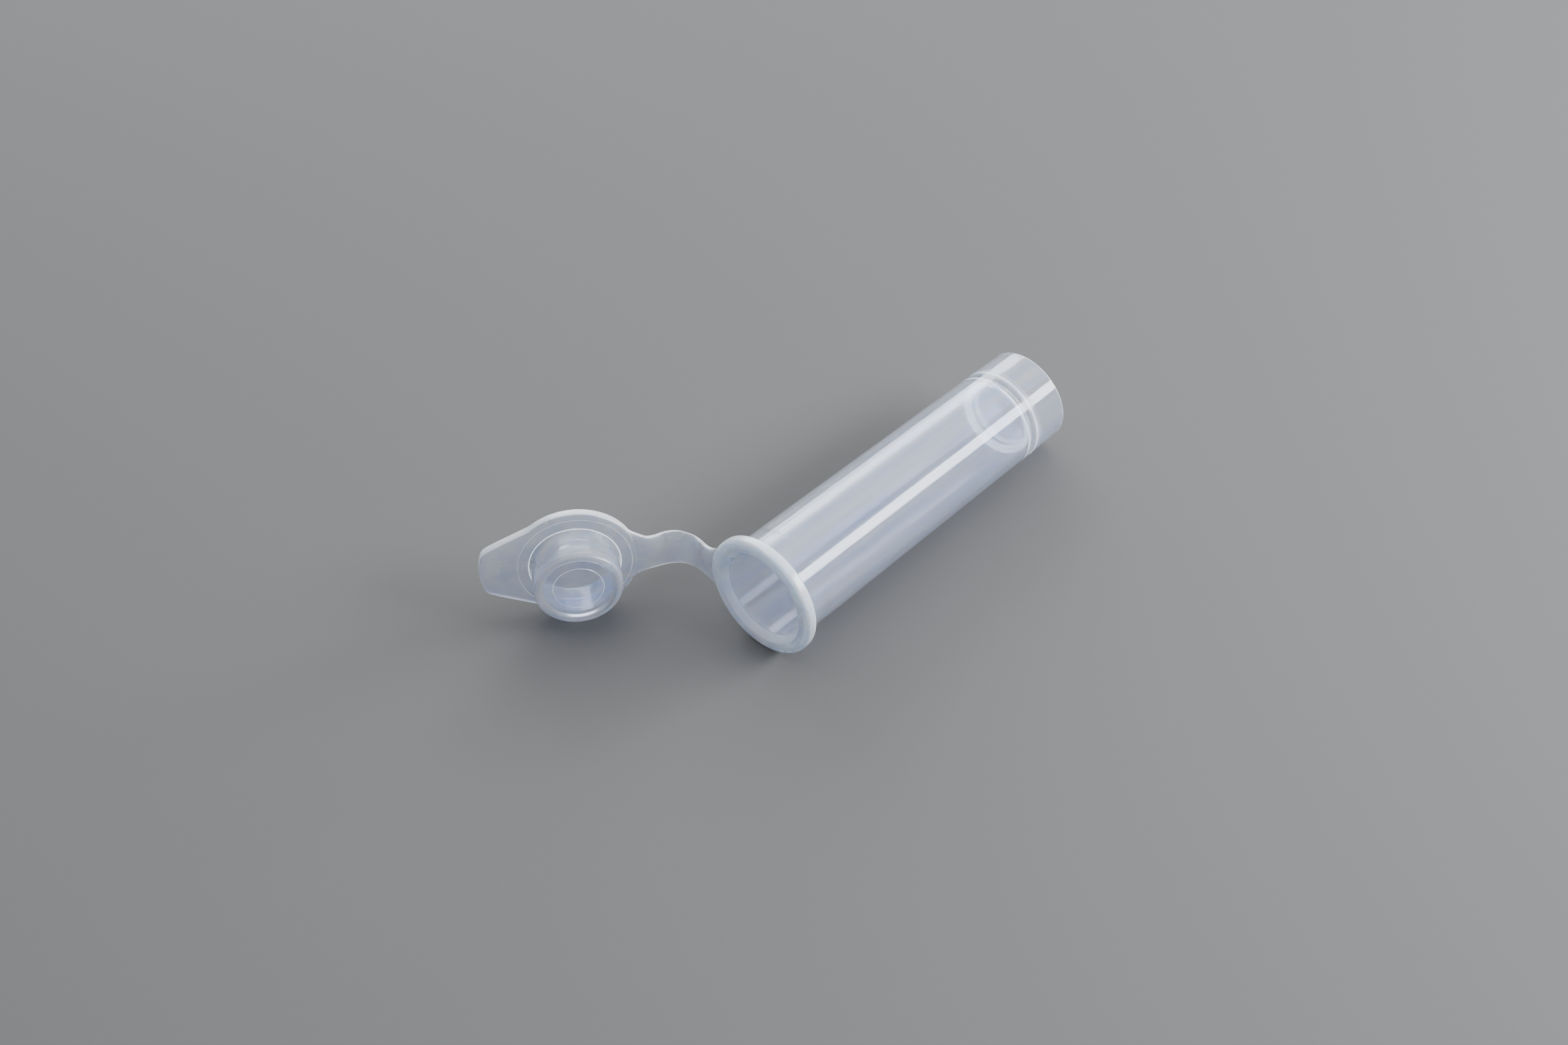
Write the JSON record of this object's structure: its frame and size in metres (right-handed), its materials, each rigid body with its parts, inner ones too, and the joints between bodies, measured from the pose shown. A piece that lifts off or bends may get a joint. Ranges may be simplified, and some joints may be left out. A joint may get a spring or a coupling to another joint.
{
  "type": "microcentrifuge tube",
  "caption": "Self-standing skirted microcentrifuge tube with a flange, a captive push-in lid on a folding strap, a hollow sealing plug and a thumb tab.",
  "frame": {"origin": "on the barrel's axis, in the plane of the flange's rear face, where the tube hangs in a rack", "axes": "+X along the barrel towards the mouth; the lid hangs open on the -Y side; Z is parallel to the strap's fold lines"},
  "size_m": [0.0558, 0.0304, 0.013],
  "materials": {
    "frosted_pp": "frosted, translucent polypropylene",
    "clear_pp": "smooth, translucent polypropylene",
    "plug_pp": "polished, translucent polypropylene"
  },
  "bodies": {
    "tube": {"mouth_flange": "frosted_pp", "neck": "clear_pp", "barrel_wall": "clear_pp", "barrel_floor": "clear_pp", "base_skirt": "clear_pp", "strap_root": "frosted_pp"},
    "strap_near": {"strap_near": "frosted_pp"},
    "strap_far": {"strap_far": "frosted_pp"},
    "lid": {"lid_strap_end": "frosted_pp", "lid_plate": "frosted_pp", "thumb_tab": "frosted_pp", "plug_wall": "plug_pp", "plug_end": "plug_pp"}
  },
  "joints": [
    {"name": "flange_bend", "type": "hinge", "parent": "tube", "child": "strap_near", "pos_m": [0.0005, -0.0071, 0], "axis": [0, 0, 1], "range_deg": [-36.88, 14.6]},
    {"name": "strap_fold", "type": "hinge", "parent": "strap_near", "child": "strap_far", "pos_m": [0.00075, -0.0102, 0], "axis": [0, 0, 1], "range_deg": [-42.9, 108.76]},
    {"name": "lid_bend", "type": "hinge", "parent": "strap_far", "child": "lid", "pos_m": [0.0033, -0.01215, 0], "axis": [0, 0, 1], "range_deg": [-22.6, 57.22]}
  ],
  "couplings": [
    {"joint": "flange_bend", "follows": "strap_fold", "ratio": -0.33907},
    {"joint": "lid_bend", "follows": "strap_fold", "ratio": 0.52606}
  ]
}
